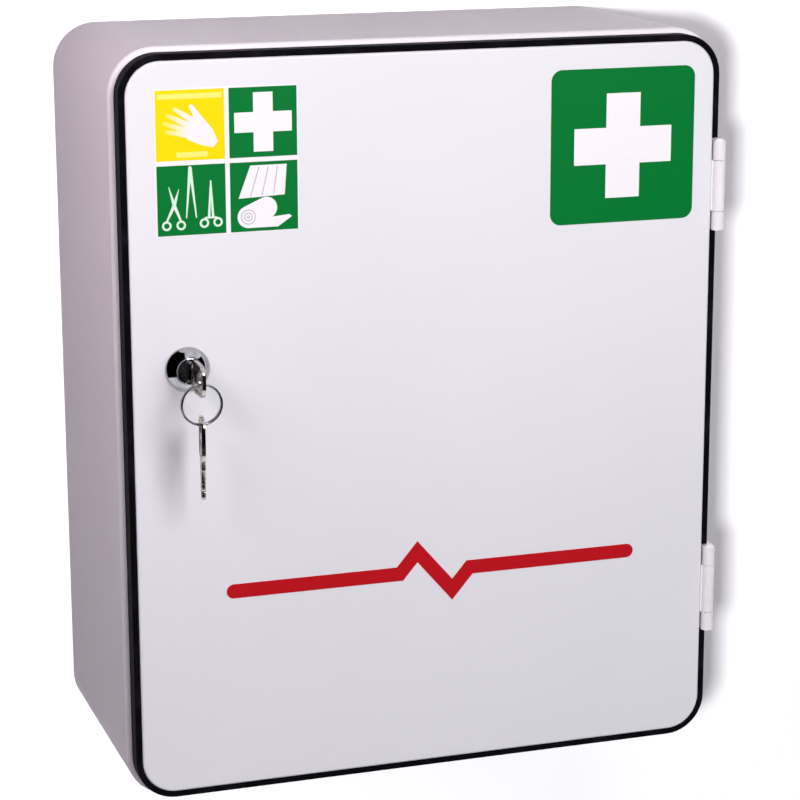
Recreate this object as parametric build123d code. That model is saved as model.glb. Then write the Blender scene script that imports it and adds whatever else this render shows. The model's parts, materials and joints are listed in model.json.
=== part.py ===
from build123d import *
import os

# First aid cabinet, wall hung. Millimetres. The origin is the centre of the back face on the wall.
# +X is right seen from the front, +Y points into the wall and +Z is up, so the door is at negative Y.

# Body: one sheet wrapped round, with a front flange and a hem behind the flange
cabinet_width = 302.0
cabinet_height = 362.0
body_depth = 128.0
corner_radius = 22.0
sheet = 1.0
rim_radius = 2.4
flange_width = 15.0
hem_depth = 8.0
hem_bend_radius = 1.4

# Back panel: a shallow tray set into the wrap, with four wall holes
panel_fit = 0.15
panel_flange_depth = 12.0
wall_hole_diameter = 7.0
wall_hole_spacing_x = 220.0
wall_hole_spacing_z = 280.0

# Shelves and the angle rails under their ends
shelf_clearance = 0.85
shelf_lip_height = 12.0
shelf_back_lip_height = 9.0
shelf_bend_radius = 1.2
upper_shelf_drop = 121.0
lower_shelf_rise = 121.0
shelf_rack_gap = 6.0
rail_leg = 12.0
rail_sheet = 1.2
rail_rear_gap = 4.0
rail_front_setback = 6.0

# Door: a shallow pan with a rubber profile pushed on its edge
door_gap = 0.4
pan_inset = 5.4
pan_side_depth = 8.2
pan_edge_radius = 1.4
seal_inset = 2.4
seal_web = 1.3
seal_inner_leg = 1.5
seal_inner_leg_depth = 6.0
seal_fit = 0.05
seal_front_setback = 0.4
seal_edge_radius = 0.7

# Hinges
upper_hinge_drop = 76.5
lower_hinge_rise = 79.0
leaf_sheet = 1.5
pin_diameter = 3.0
pin_clearance = 0.05
pin_tip_height = 1.3
pin_head_radius = 2.1
outer_knuckle_length = 9.3
middle_knuckle_length = 24.8
knuckle_gap = 0.25
axis_behind_front = 0.6
leaf_depth_on_body = 22.0
leaf_corner_radius = 3.0
leaf_knuckle_clearance = 0.3
pin_dome = 1.0
seal_notch_gap = 0.25
rivet_diameter = 3.0
rivet_head_diameter = 5.6
rivet_head_depth = 1.1
rivet_tail_height = 1.0
rivet_fit = 0.05
rivets_per_leaf = 3
rivet_pitch = 15.0

# Door racks, held by weld studs and nuts
rack_side_gap = 29.0
rack_depth = 39.0
rack_height = 45.0
rack_bend_radius = 1.2
rack_above_lock = 22.4
lower_rack_rise = 61.0
stud_diameter = 4.0
stud_length = 6.0
stud_hole_clearance = 0.2
stud_height_in_rack = 30.0
studs_per_rack = 4
stud_pitch = 66.0
nut_across_flats = 7.0
nut_height = 3.2
nut_fit = 0.05

# Lock
lock_inset = 31.6
lock_drop = 148.4
rosette_radius = 10.6
rosette_edge = 0.7
rosette_crown = 4.4
boss_radius = 6.4
boss_height = 6.2
barrel_radius = 8.0
barrel_flat = 7.0
barrel_clearance = 0.15
barrel_plug_step = 3.0
lock_nut_across_flats = 20.0
lock_nut_height = 3.0
lock_washer_radius = 11.0
lock_washer_sheet = 1.0
plug_radius = 5.0
plug_clearance = 0.05
plug_proud = 0.3
plug_square = 6.5
cam_sheet = 2.0
cam_width = 13.0
cam_hem_gap = 1.5
cam_wall_gap = 2.6
cam_fit = 0.05
cam_screw_radius = 2.0
cam_screw_length = 6.0
cam_screw_head_radius = 3.9
cam_screw_head_height = 2.4
cam_screw_slot_width = 0.9
cam_screw_slot_depth = 1.0
wafer_count = 5
wafer_sheet = 0.7
wafer_pitch = 2.2
wafer_first = 3.0
wafer_width = 4.6
wafer_slack = 0.1

# Keys and key ring
key_sheet = 1.8
key_blade_width = 6.2
key_blade_length = 14.0
key_neck_width = 8.0
key_neck_length = 3.8
key_bow_width = 15.0
key_bow_length = 21.0
key_bow_radius = 5.0
key_hole_diameter = 6.5
key_hole_from_end = 6.0
key_shoulder_gap = 0.2
key_slot_clearance = 0.15
key_cut_step = 0.35
key_cut_width = 1.3
ring_mean_radius = 9.4
ring_wire_radius = 0.65
ring_turn_offset = 0.55
ring_play = 0.95
ring_seat_gap = 0.25
spare_key_turn = 9.0

# Labels
label_film = 0.15
print_film = 0.1
tile_size = 32.2
tile_gap = 2.2
tile_margin = 0.6
tiles_from_left = 18.6
tiles_from_top = 18.2
tile_cross_size = 27.3
tile_cross_arm = 9.3
sign_size = 74.5
sign_corner_radius = 5.5
sign_from_right = 15.8
sign_from_top = 17.0
sign_cross_size = 50.5
sign_cross_arm = 17.6
stripe_length = 210.0
stripe_width = 7.0
stripe_rise = 103.4
stripe_offset = 2.3
pulse_rise = 10.5
pulse_step = 9.0

# Places worked out from the sizes above
half_width = cabinet_width / 2
half_height = cabinet_height / 2
body_front = -body_depth
door_back = body_front - door_gap
pan_back = door_back - seal_web
door_front = pan_back - pan_side_depth
door_inside = door_front + sheet
rack_back = door_inside + rack_depth
rack_half_width = half_width - rack_side_gap
shelf_front = rack_back + shelf_rack_gap
shelf_rear = -(sheet + shelf_clearance)
shelf_half_width = half_width - 2 * sheet - panel_fit - shelf_clearance
shelf_levels = {"upper": half_height - upper_shelf_drop, "lower": lower_shelf_rise - half_height}
pin_radius = pin_diameter / 2
knuckle_bore = pin_radius + pin_clearance
knuckle_radius = knuckle_bore + leaf_sheet
hinge_x = half_width + leaf_sheet - knuckle_radius
hinge_y = door_front + axis_behind_front
knuckle_end = hinge_y + knuckle_radius + leaf_knuckle_clearance
hinge_half_length = middle_knuckle_length / 2 + knuckle_gap + outer_knuckle_length
hinge_levels = {"upper": half_height - upper_hinge_drop, "lower": lower_hinge_rise - half_height}
leaf_rear_on_body = body_front + leaf_depth_on_body
rivet_y = body_front + leaf_depth_on_body / 2
lock_x = lock_inset - half_width
lock_z = half_height - lock_drop
rack_levels = {"upper": lock_z + rack_above_lock, "lower": lower_rack_rise - half_height}
cam_front = body_front + hem_depth + cam_hem_gap
cam_back = cam_front + cam_sheet
cam_reach = lock_inset - sheet - cam_wall_gap
barrel_length = cam_front - barrel_plug_step - door_front
plug_face = boss_height + plug_proud
plug_length = plug_face + cam_front - door_front
key_end = plug_face + key_shoulder_gap + key_neck_length + key_bow_length
key_hole = key_end - key_hole_from_end
ring_drop = key_hole_diameter / 2 - ring_wire_radius - ring_play + ring_mean_radius
spare_hole_drop = key_hole_diameter / 2 - ring_wire_radius - ring_seat_gap
tile_step = tile_size + tile_gap
tiles_x = tiles_from_left + tile_margin + tile_size + tile_gap / 2 - half_width
tiles_z = half_height - tiles_from_top - tile_margin - tile_size - tile_gap / 2
sign_x = half_width - sign_from_right - sign_size / 2
sign_z = half_height - sign_from_top - sign_size / 2
stripe_z = stripe_rise - half_height

LOW = (Align.CENTER, Align.CENTER, Align.MIN)


def facing_front(x, y, z):
    # A plane seen from the front: its own x is right, its own y is up, and its normal points out of the door
    return Plane(origin=(x, y, z), x_dir=(1, 0, 0), z_dir=(0, -1, 0))


def slab(inset, front, back):
    # The cabinet's outline drawn in by inset, as a solid between two depths
    outline = RectangleRounded(
        cabinet_width - 2 * inset,
        cabinet_height - 2 * inset,
        corner_radius - inset,
    )
    return extrude(facing_front(0, back, 0) * outline, amount=back - front)


def block(x_low, x_high, y_low, y_high, z_low, z_high):
    middle = Pos((x_low + x_high) / 2, (y_low + y_high) / 2, (z_low + z_high) / 2)
    return middle * Box(x_high - x_low, y_high - y_low, z_high - z_low)


def front_edges(solid):
    return solid.edges().group_by(Axis.Y)[0]


def turned(outline):
    # A closed outline of (radius, height) turned about the local Z axis
    return revolve(Plane.XZ * make_face(outline), Axis.Z)


def bent_sheet(points, radius, half_length, thickness):
    # A sheet bent along points of (y, z), given at mid thickness, and run between -half_length and half_length in X
    middle_line = FilletPolyline(*points, radius=radius)
    section = trace(middle_line, line_width=thickness)
    across = Plane(origin=(-half_length, 0, 0), x_dir=(0, 1, 0), z_dir=(1, 0, 0))
    return extrude(across * section, amount=2 * half_length)


def row(count, pitch):
    return [(i - (count - 1) / 2) * pitch for i in range(count)]


def body_wrap():
    outside = slab(0, body_front, 0)
    outside = fillet(front_edges(outside), rim_radius)
    inside = slab(sheet, body_front + sheet, 0)
    inside = fillet(front_edges(inside), rim_radius - sheet)
    hem = slab(flange_width - sheet, body_front + sheet, body_front + hem_depth)
    wrap = outside - inside + hem
    mouth = slab(flange_width, body_front, body_front + hem_depth)
    wrap = wrap - mouth
    mouth_edges = front_edges(wrap).filter_by(lambda e: abs(e.center().X) < half_width - flange_width + sheet)
    mouth_edges = mouth_edges.filter_by(lambda e: abs(e.center().Z) < half_height - flange_width + sheet)
    wrap = fillet(mouth_edges, hem_bend_radius)
    for z in hinge_levels.values():
        wrap = wrap - rivet_holes(z, rivet_diameter / 2 + rivet_fit)
    return wrap


def back_panel():
    plate = slab(sheet + panel_fit, -panel_flange_depth, 0)
    plate = plate - slab(2 * sheet + panel_fit, -panel_flange_depth, -sheet)
    for x in (-wall_hole_spacing_x / 2, wall_hole_spacing_x / 2):
        for z in (-wall_hole_spacing_z / 2, wall_hole_spacing_z / 2):
            hole = facing_front(x, 0, z) * Circle(wall_hole_diameter / 2)
            plate = plate - extrude(hole, amount=sheet)
    return plate


def shelf(level):
    # The level is the shelf's upper face
    half = sheet / 2
    rear = shelf_rear - half
    front = shelf_front + half
    points = [
        (rear, level + shelf_back_lip_height),
        (rear, level - half),
        (front, level - half),
        (front, level + shelf_lip_height),
    ]
    return bent_sheet(points, shelf_bend_radius, shelf_half_width, sheet)


def shelf_rail(level, side):
    # An angle under one end of a shelf, side -1 on the left and 1 on the right
    wall = half_width - sheet
    top = level - sheet
    rear = -(panel_flange_depth + rail_rear_gap)
    front = shelf_front + rail_front_setback
    leg = block(wall - rail_sheet, wall, front, rear, top - rail_leg, top)
    ledge = block(wall - rail_leg, wall, front, rear, top - rail_sheet, top)
    rail = leg + ledge
    return rail if side > 0 else rail.mirror(Plane.YZ)


def rivet_solid(length, radius, head_radius, head_depth):
    # A countersunk rivet along local Z, with the head's face at 0 and the shank running down
    return turned(
        Polyline(
            (0, 0),
            (head_radius, 0),
            (radius, -head_depth),
            (radius, -length),
            (0, -length),
            close=True,
        )
    )


def leaf_rivets(z):
    # Rivets through the body's hinge leaf and the side wall, with upset tails inside
    outside = half_width + leaf_sheet
    grip = leaf_sheet + sheet
    rivets = []
    for step in row(rivets_per_leaf, rivet_pitch):
        place = Plane(origin=(outside, rivet_y, z + step), x_dir=(0, 1, 0), z_dir=(1, 0, 0)).location
        rivet = rivet_solid(grip, rivet_diameter / 2, rivet_head_diameter / 2, rivet_head_depth)
        tail = Pos(0, 0, -grip - rivet_tail_height) * Cylinder(rivet_head_diameter / 2, rivet_tail_height, align=LOW)
        tail = fillet(tail.edges().group_by(Axis.Z)[0], rivet_tail_height / 2)
        rivets.append(place * (rivet + tail))
    return rivets


def rivet_holes(z, radius):
    holes = Part()
    for step in row(rivets_per_leaf, rivet_pitch):
        place = Plane(origin=(half_width + leaf_sheet, rivet_y, z + step), z_dir=(-1, 0, 0)).location
        holes = holes + place * Cylinder(radius, leaf_sheet + sheet, align=LOW)
    return holes


def knuckle(z_low, z_high):
    tube = Cylinder(knuckle_radius, z_high - z_low, align=LOW)
    tube = tube - Cylinder(knuckle_bore, z_high - z_low, align=LOW)
    return Pos(hinge_x, hinge_y, z_low) * tube


def hinge_body_leaf(z):
    # The plate on the side wall and the two outer knuckles
    low = z - hinge_half_length
    high = z + hinge_half_length
    middle = middle_knuckle_length / 2 + knuckle_gap
    plate = block(half_width, half_width + leaf_sheet, knuckle_end, leaf_rear_on_body, low, high)
    plate = fillet(plate.edges().filter_by(Axis.X).group_by(Axis.Y)[-1], leaf_corner_radius)
    leaf = plate
    for z_low, z_high in ((low, z - middle), (z + middle, high)):
        leaf = leaf + block(half_width, half_width + leaf_sheet, hinge_y, knuckle_end, z_low, z_high)
        leaf = leaf + knuckle(z_low, z_high)
        leaf = leaf - Pos(hinge_x, hinge_y, z_low) * Cylinder(knuckle_bore, z_high - z_low, align=LOW)
    for step in row(rivets_per_leaf, rivet_pitch):
        place = Plane(origin=(half_width + leaf_sheet, rivet_y, z + step), x_dir=(0, 1, 0), z_dir=(1, 0, 0)).location
        room = rivet_solid(
            leaf_sheet,
            rivet_diameter / 2 + rivet_fit,
            rivet_head_diameter / 2 + rivet_fit,
            rivet_head_depth + rivet_fit,
        )
        leaf = leaf - place * room
    return leaf


def hinge_door_leaf(z):
    # The middle knuckle and the strip welded to the side of the door's pan
    pan_side = half_width - pan_inset
    outer = hinge_x - knuckle_radius + leaf_sheet
    half = middle_knuckle_length / 2
    low = z - hinge_half_length
    high = z + hinge_half_length
    strip = block(pan_side, outer, knuckle_end, pan_back, low, high)
    neck = block(pan_side, outer, hinge_y, knuckle_end, z - half, z + half)
    leaf = strip + neck + knuckle(z - half, z + half)
    return leaf - Pos(hinge_x, hinge_y, z - half) * Cylinder(knuckle_bore, 2 * half, align=LOW)


def hinge_pin(z):
    # A plain pin with a domed head on the upper knuckle
    length = 2 * hinge_half_length
    shank = Pos(hinge_x, hinge_y, z - hinge_half_length) * Cylinder(pin_radius, length, align=LOW)
    head = Pos(hinge_x, hinge_y, z + hinge_half_length) * Cylinder(pin_head_radius, pin_tip_height, align=LOW)
    head = fillet(head.edges().group_by(Axis.Z)[-1], pin_dome)
    return shank + head


def door_panel():
    outside = slab(pan_inset, door_front, pan_back)
    outside = fillet(front_edges(outside), pan_edge_radius)
    panel = outside - slab(pan_inset + sheet, door_inside, pan_back)
    hole = Circle(barrel_radius + barrel_clearance)
    flats = Rectangle(2 * (barrel_flat + barrel_clearance), 4 * barrel_radius)
    cut = facing_front(lock_x, door_inside, lock_z) * (hole & flats)
    return panel - extrude(cut, amount=sheet)


def door_seal():
    # A U-shaped profile on the pan's free edge: outer leg, web and inner leg
    seal_front = door_front + seal_front_setback
    outside = slab(seal_inset, seal_front, door_back)
    outside = fillet(front_edges(outside), seal_edge_radius)
    inner_inset = pan_inset + sheet + seal_fit
    leg_front = pan_back - seal_inner_leg_depth
    outer_leg = outside - slab(pan_inset - seal_fit, seal_front, pan_back)
    outer_leg = outer_leg - slab(inner_inset + seal_inner_leg, pan_back, door_back)
    inner_leg = slab(inner_inset, leg_front, pan_back)
    inner_leg = inner_leg - slab(inner_inset + seal_inner_leg, leg_front, pan_back)
    seal = outer_leg + inner_leg
    reach = hinge_half_length + seal_notch_gap
    for z in hinge_levels.values():
        edge = half_width - pan_inset
        seal = seal - block(edge, half_width, seal_front, door_back, z - reach, z + reach + pin_tip_height)
    return seal


def door_rack(level):
    # A sheet tray open at the top, with closed ends. The level is its floor's upper face.
    half = sheet / 2
    front = door_inside + half
    back = rack_back - half
    points = [
        (front, level + rack_height),
        (front, level - half),
        (back, level - half),
        (back, level + rack_height),
    ]
    tray = bent_sheet(points, rack_bend_radius, rack_half_width, sheet)
    for side in (-1, 1):
        x_out = side * rack_half_width
        x_in = side * (rack_half_width - sheet)
        low, high = min(x_out, x_in), max(x_out, x_in)
        tray = tray + block(low, high, door_inside + half, rack_back - half, level - half, level + rack_height)
    hole = Circle(stud_diameter / 2 + stud_hole_clearance)
    for x in row(studs_per_rack, stud_pitch):
        cut = facing_front(x, door_inside + sheet, level + stud_height_in_rack) * hole
        tray = tray - extrude(cut, amount=sheet)
    return tray


def behind_door(x, z):
    # A place on the door's inner face, with local Z pointing into the cabinet
    return Plane(origin=(x, door_inside, z), x_dir=(1, 0, 0), z_dir=(0, 1, 0)).location


def stud_places():
    places = []
    for level in rack_levels.values():
        places += [behind_door(x, level + stud_height_in_rack) for x in row(studs_per_rack, stud_pitch)]
    return places


def rack_stud():
    stud = Cylinder(stud_diameter / 2, stud_length, align=LOW)
    return chamfer(stud.edges().group_by(Axis.Z)[-1], stud_diameter / 10)


def hex_nut(across_flats, height, bore):
    nut = extrude(RegularPolygon(across_flats / 2, 6, major_radius=False), amount=height)
    return nut - Cylinder(bore, height, align=LOW)


def rack_nut():
    return Pos(0, 0, sheet) * hex_nut(nut_across_flats, nut_height, stud_diameter / 2 + nut_fit)


def at_lock(solid):
    # Local Z 0 is the door's front face, and positive is out towards the viewer
    return facing_front(lock_x, door_front, lock_z).location * solid


def lock_housing():
    bore = plug_radius + plug_clearance
    shoulder = (boss_radius, rosette_crown)
    edge = (rosette_radius, rosette_edge)
    crown = ((boss_radius + rosette_radius) / 2 + rosette_edge, (rosette_crown + rosette_edge) / 2 + rosette_edge)
    outline = Polyline(
        edge,
        (rosette_radius, 0),
        (bore, 0),
        (bore, boss_height),
        (boss_radius, boss_height),
        shoulder,
    )
    outline = outline + ThreePointArc(shoulder, crown, edge)
    rosette = turned(outline)
    barrel = Pos(0, 0, -barrel_length) * Cylinder(barrel_radius, barrel_length, align=LOW)
    barrel = barrel & Box(2 * barrel_flat, 4 * barrel_radius, 4 * barrel_length)
    barrel = barrel - Pos(0, 0, -barrel_length) * Cylinder(bore, barrel_length, align=LOW)
    return at_lock(rosette + barrel)


def lock_washer():
    place = Pos(0, 0, -sheet - lock_washer_sheet)
    washer = Cylinder(lock_washer_radius, lock_washer_sheet, align=LOW)
    washer = washer - Cylinder(barrel_radius + barrel_clearance, lock_washer_sheet, align=LOW)
    return at_lock(place * washer)


def lock_nut():
    place = Pos(0, 0, -sheet - lock_washer_sheet - lock_nut_height)
    return at_lock(place * hex_nut(lock_nut_across_flats, lock_nut_height, barrel_radius + nut_fit))


def wafer_heights():
    return [plug_face - wafer_first - i * wafer_pitch for i in range(wafer_count)]


def cut_depths():
    return [key_cut_step * (2 * i % wafer_count) for i in range(wafer_count)]


def lock_plug():
    plug = Pos(0, 0, plug_face - plug_length) * Cylinder(plug_radius, plug_length, align=LOW)
    shank = Pos(0, 0, plug_face - plug_length - cam_sheet) * Box(plug_square, plug_square, cam_sheet, align=LOW)
    plug = plug + shank
    screw_room = Cylinder(cam_screw_radius + cam_fit, cam_screw_length, align=LOW)
    plug = plug - Pos(0, 0, plug_face - plug_length - cam_sheet) * screw_room
    slot_depth = key_blade_length
    slot = Box(key_sheet + 2 * key_slot_clearance, key_blade_width + 2 * key_slot_clearance, slot_depth, align=LOW)
    plug = plug - Pos(0, 0, plug_face - slot_depth) * slot
    for height in wafer_heights():
        room = Box(wafer_width + 2 * wafer_slack, 4 * plug_radius, wafer_sheet + 2 * wafer_slack)
        plug = plug - Pos(0, 0, height) * room
    return at_lock(plug)


def lock_wafers():
    # Each wafer's window sits on the key's cut, so that the key holds all of them inside the plug
    wafers = []
    for height, depth in zip(wafer_heights(), cut_depths()):
        plate = Cylinder(plug_radius - wafer_slack, wafer_sheet) & Box(wafer_width, 4 * plug_radius, wafer_sheet)
        window_low = depth - key_blade_width / 2 - key_slot_clearance
        window_high = key_blade_width / 2 + key_slot_clearance
        window = Box(key_sheet + 2 * key_slot_clearance, window_high - window_low, wafer_sheet)
        plate = plate - Pos(0, (window_low + window_high) / 2, 0) * window
        wafers.append(at_lock(Pos(0, 0, height) * plate))
    return wafers


def lock_cam():
    arm = SlotCenterToCenter(cam_reach - cam_width / 2, cam_width, rotation=90)
    arm = Pos(0, -(cam_reach - cam_width / 2) / 2) * arm
    arm = arm - Rectangle(plug_square + 2 * cam_fit, plug_square + 2 * cam_fit)
    return at_lock(Pos(0, 0, door_front - cam_back) * extrude(arm, amount=cam_sheet))


def cam_screw():
    under_head = door_front - cam_back
    shank = Pos(0, 0, under_head) * Cylinder(cam_screw_radius, cam_screw_length - cam_fit, align=LOW)
    head = Cylinder(cam_screw_head_radius, cam_screw_head_height, align=LOW)
    head = fillet(head.edges().group_by(Axis.Z)[0], cam_screw_head_height / 3)
    head = head - Box(2 * cam_screw_head_radius, cam_screw_slot_width, cam_screw_slot_depth, align=LOW)
    return at_lock(shank + Pos(0, 0, under_head - cam_screw_head_height) * head)


def key():
    # A flat key with its shoulder at 0, the blade pointing down local Y and the bow up
    blade = Pos(0, -key_blade_length / 2) * Rectangle(key_blade_width, key_blade_length)
    blade = chamfer(blade.vertices().group_by(Axis.Y)[0], key_blade_width / 4)
    for height, depth in zip(wafer_heights(), cut_depths()):
        if depth > 0:
            cut = Rectangle(key_cut_width, depth, rotation=90)
            along = height - plug_face - key_shoulder_gap
            blade = blade - Pos(-key_blade_width / 2 + depth / 2, along) * cut
    neck = Pos(0, key_neck_length / 2) * Rectangle(key_neck_width, key_neck_length + key_bow_radius)
    neck = Pos(0, key_bow_radius / 2) * neck
    bow = Pos(0, key_neck_length + key_bow_length / 2)
    bow = bow * RectangleRounded(key_bow_width, key_bow_length, key_bow_radius)
    outline = blade + neck + bow
    hole_at = key_neck_length + key_bow_length - key_hole_from_end
    outline = outline - Pos(0, hole_at) * Circle(key_hole_diameter / 2)
    return extrude(outline, amount=key_sheet / 2, both=True)


def key_in_lock():
    # The key's plane stands upright, its width along Z and its bow out towards the viewer
    shoulder = door_front - plug_face - key_shoulder_gap
    place = Plane(origin=(lock_x, shoulder, lock_z), x_dir=(0, 0, 1), z_dir=(1, 0, 0))
    return place.location * key()


def spare_key():
    # The same key, hanging blade down from the ring's lowest point, turned a little about the vertical
    hole_y = door_front - key_hole
    hole_z = lock_z - ring_drop - ring_mean_radius - spare_hole_drop
    from_shoulder = key_neck_length + key_bow_length - key_hole_from_end
    place = Plane(origin=(lock_x, hole_y, hole_z - from_shoulder), x_dir=(0, 1, 0), z_dir=(1, 0, 0))
    return place.location * Rot(0, -spare_key_turn, 0) * key()


def key_ring():
    # Two turns of wire side by side, in a plane that faces the front
    turns = Pos(ring_mean_radius, ring_turn_offset) * Circle(ring_wire_radius)
    turns = turns + Pos(ring_mean_radius, -ring_turn_offset) * Circle(ring_wire_radius)
    ring = revolve(Plane.XZ * turns, Axis.Z)
    return facing_front(lock_x, door_front - key_hole, lock_z - ring_drop).location * ring


def film(outline, x, z, lift, thickness):
    # A thin film on the door's front face, lift above it
    return extrude(facing_front(x, door_front - lift, z) * outline, amount=thickness)


def cross(size, arm):
    return Rectangle(size, arm) + Rectangle(arm, size)


def tile_places():
    step = tile_step / 2
    return {
        "upper_left": (tiles_x - step, tiles_z + step),
        "upper_right": (tiles_x + step, tiles_z + step),
        "lower_left": (tiles_x - step, tiles_z - step),
        "lower_right": (tiles_x + step, tiles_z - step),
    }


def tile(name):
    x, z = tile_places()[name]
    return film(Rectangle(tile_size, tile_size), x, z, label_film, print_film)


def tile_base():
    size = 2 * tile_size + tile_gap + 2 * tile_margin
    return film(RectangleRounded(size, size, tile_margin), tiles_x, tiles_z, 0, label_film)


def tile_cross():
    x, z = tile_places()["upper_right"]
    return film(cross(tile_cross_size, tile_cross_arm), x, z, label_film + print_film, print_film)


def sign_plate():
    return film(RectangleRounded(sign_size, sign_size, sign_corner_radius), sign_x, sign_z, 0, label_film)


def sign_cross():
    return film(cross(sign_cross_size, sign_cross_arm), sign_x, sign_z, label_film, print_film)


def pulse_stripe():
    # A level stripe with a pulse up and down in the middle
    end = (stripe_length - stripe_width) / 2
    points = [
        (-end, 0),
        (-2 * pulse_step, 0),
        (-pulse_step, pulse_rise),
        (pulse_step, -pulse_rise),
        (2 * pulse_step, 0),
        (end, 0),
    ]
    line = trace(Polyline(*points), line_width=stripe_width)
    for x in (-end, end):
        line = line + Pos(x, 0) * Circle(stripe_width / 2)
    return film(line, stripe_offset, stripe_z, 0, label_film)


def group(solids):
    return Compound(children=list(solids))


def all_parts():
    parts = {"body_wrap": body_wrap(), "back_panel": back_panel()}
    for name, level in shelf_levels.items():
        parts[f"shelf_{name}"] = shelf(level)
        parts[f"shelf_rail_{name}_left"] = shelf_rail(level, -1)
        parts[f"shelf_rail_{name}_right"] = shelf_rail(level, 1)
    for name, z in hinge_levels.items():
        parts[f"hinge_body_leaf_{name}"] = hinge_body_leaf(z)
        parts[f"hinge_door_leaf_{name}"] = hinge_door_leaf(z)
        parts[f"hinge_pin_{name}"] = hinge_pin(z)
        parts[f"hinge_rivets_{name}"] = group(leaf_rivets(z))
    parts["door_panel"] = door_panel()
    parts["door_seal"] = door_seal()
    for name, level in rack_levels.items():
        parts[f"door_rack_{name}"] = door_rack(level)
    parts["rack_studs"] = group(place * rack_stud() for place in stud_places())
    parts["rack_nuts"] = group(place * rack_nut() for place in stud_places())
    parts["lock_housing"] = lock_housing()
    parts["lock_washer"] = lock_washer()
    parts["lock_nut"] = lock_nut()
    parts["lock_plug"] = lock_plug()
    parts["lock_wafers"] = group(lock_wafers())
    parts["lock_cam"] = lock_cam()
    parts["cam_screw"] = cam_screw()
    parts["key_in_lock"] = key_in_lock()
    parts["key_ring"] = key_ring()
    parts["spare_key"] = spare_key()
    parts["tile_base"] = tile_base()
    parts["tile_glove"] = tile("upper_left")
    parts["tile_first_aid"] = tile("upper_right")
    parts["tile_instruments"] = tile("lower_left")
    parts["tile_dressings"] = tile("lower_right")
    parts["tile_cross"] = tile_cross()
    parts["sign_plate"] = sign_plate()
    parts["sign_cross"] = sign_cross()
    parts["pulse_stripe"] = pulse_stripe()
    return parts


def write_parts():
    os.makedirs("parts", exist_ok=True)
    for name, solid in all_parts().items():
        export_step(solid, f"parts/{name}.step")
        print(name)


write_parts()
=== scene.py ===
import json
import math
import bmesh
import bpy
from mathutils import Matrix, Vector
from mathutils.geometry import delaunay_2d_cdt


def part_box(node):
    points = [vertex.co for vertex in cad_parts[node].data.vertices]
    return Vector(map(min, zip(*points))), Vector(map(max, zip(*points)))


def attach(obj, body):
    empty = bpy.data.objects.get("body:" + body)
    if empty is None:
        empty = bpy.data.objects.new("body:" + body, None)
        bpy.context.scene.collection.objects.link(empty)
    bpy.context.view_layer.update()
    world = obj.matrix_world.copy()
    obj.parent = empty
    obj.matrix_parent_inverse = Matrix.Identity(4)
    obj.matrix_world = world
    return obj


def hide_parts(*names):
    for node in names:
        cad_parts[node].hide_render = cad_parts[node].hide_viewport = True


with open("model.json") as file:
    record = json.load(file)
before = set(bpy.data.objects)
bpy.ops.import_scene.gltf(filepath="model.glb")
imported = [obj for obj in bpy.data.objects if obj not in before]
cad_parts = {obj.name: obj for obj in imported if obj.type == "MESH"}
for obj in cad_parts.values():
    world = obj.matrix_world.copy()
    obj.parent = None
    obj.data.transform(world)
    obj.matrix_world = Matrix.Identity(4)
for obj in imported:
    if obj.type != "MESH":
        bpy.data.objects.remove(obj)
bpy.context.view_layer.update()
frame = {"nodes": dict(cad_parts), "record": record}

mm = 0.001
degree = math.pi / 180
scene = bpy.context.scene
nodes = frame["nodes"]

# Where things are, read from the construction
wrapLow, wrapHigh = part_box("body_wrap")
plugLow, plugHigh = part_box("lock_plug")
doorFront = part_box("door_panel")[0].y
lockX = (plugLow.x + plugHigh.x) / 2
lockZ = (plugLow.z + plugHigh.z) / 2
print("construction loaded:", len(nodes), "nodes")


# Shader maths: a Wire is an output socket, a Graph makes nodes, a Coat is a material with one shader

class Wire:
    def __init__(self, graph, socket):
        self.graph = graph
        self.socket = socket

    def math(self, operation, *values):
        return self.graph.add("ShaderNodeMath", {"operation": operation}, dict(enumerate(values)))

    def __add__(self, other):
        return self.math("ADD", self, other)

    def __radd__(self, other):
        return self.math("ADD", other, self)

    def __sub__(self, other):
        return self.math("SUBTRACT", self, other)

    def __rsub__(self, other):
        return self.math("SUBTRACT", other, self)

    def __mul__(self, other):
        return self.math("MULTIPLY", self, other)

    def __rmul__(self, other):
        return self.math("MULTIPLY", other, self)

    def soft(self, low, high):        # 0 below low, 1 above high, smooth between
        limits = {"From Min": low, "From Max": high}
        settings = {"interpolation_type": "SMOOTHSTEP"}
        return self.graph.add("ShaderNodeMapRange", settings, {"Value": self, **limits})

    def swing(self, share):        # a noise's ups and downs about its middle
        return (self - 0.5) * share


class Graph:
    def __init__(self, tree):
        self.tree = tree

    def add(self, kind, settings=None, values=None, out=0):        # any node, as the Wire of one output
        node = self.tree.nodes.new(kind)
        for name, value in (settings or {}).items():
            setattr(node, name, value)
        for socket, value in (values or {}).items():
            self.plug(node.inputs[socket], value)
        return Wire(self, node.outputs[out]) if node.outputs else None

    def plug(self, socket, value):
        if isinstance(value, Wire):
            self.tree.links.new(value.socket, socket)
        else:
            socket.default_value = value

    def seen(self):        # 1 where the camera, a mirror or glass looks, 0 for light
        camera = self.add("ShaderNodeLightPath", out="Is Camera Ray")
        mirror = self.add("ShaderNodeLightPath", out="Is Glossy Ray")
        glass = self.add("ShaderNodeLightPath", out="Is Transmission Ray")
        return camera.math("MAXIMUM", camera.math("MAXIMUM", camera, mirror), glass)


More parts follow.
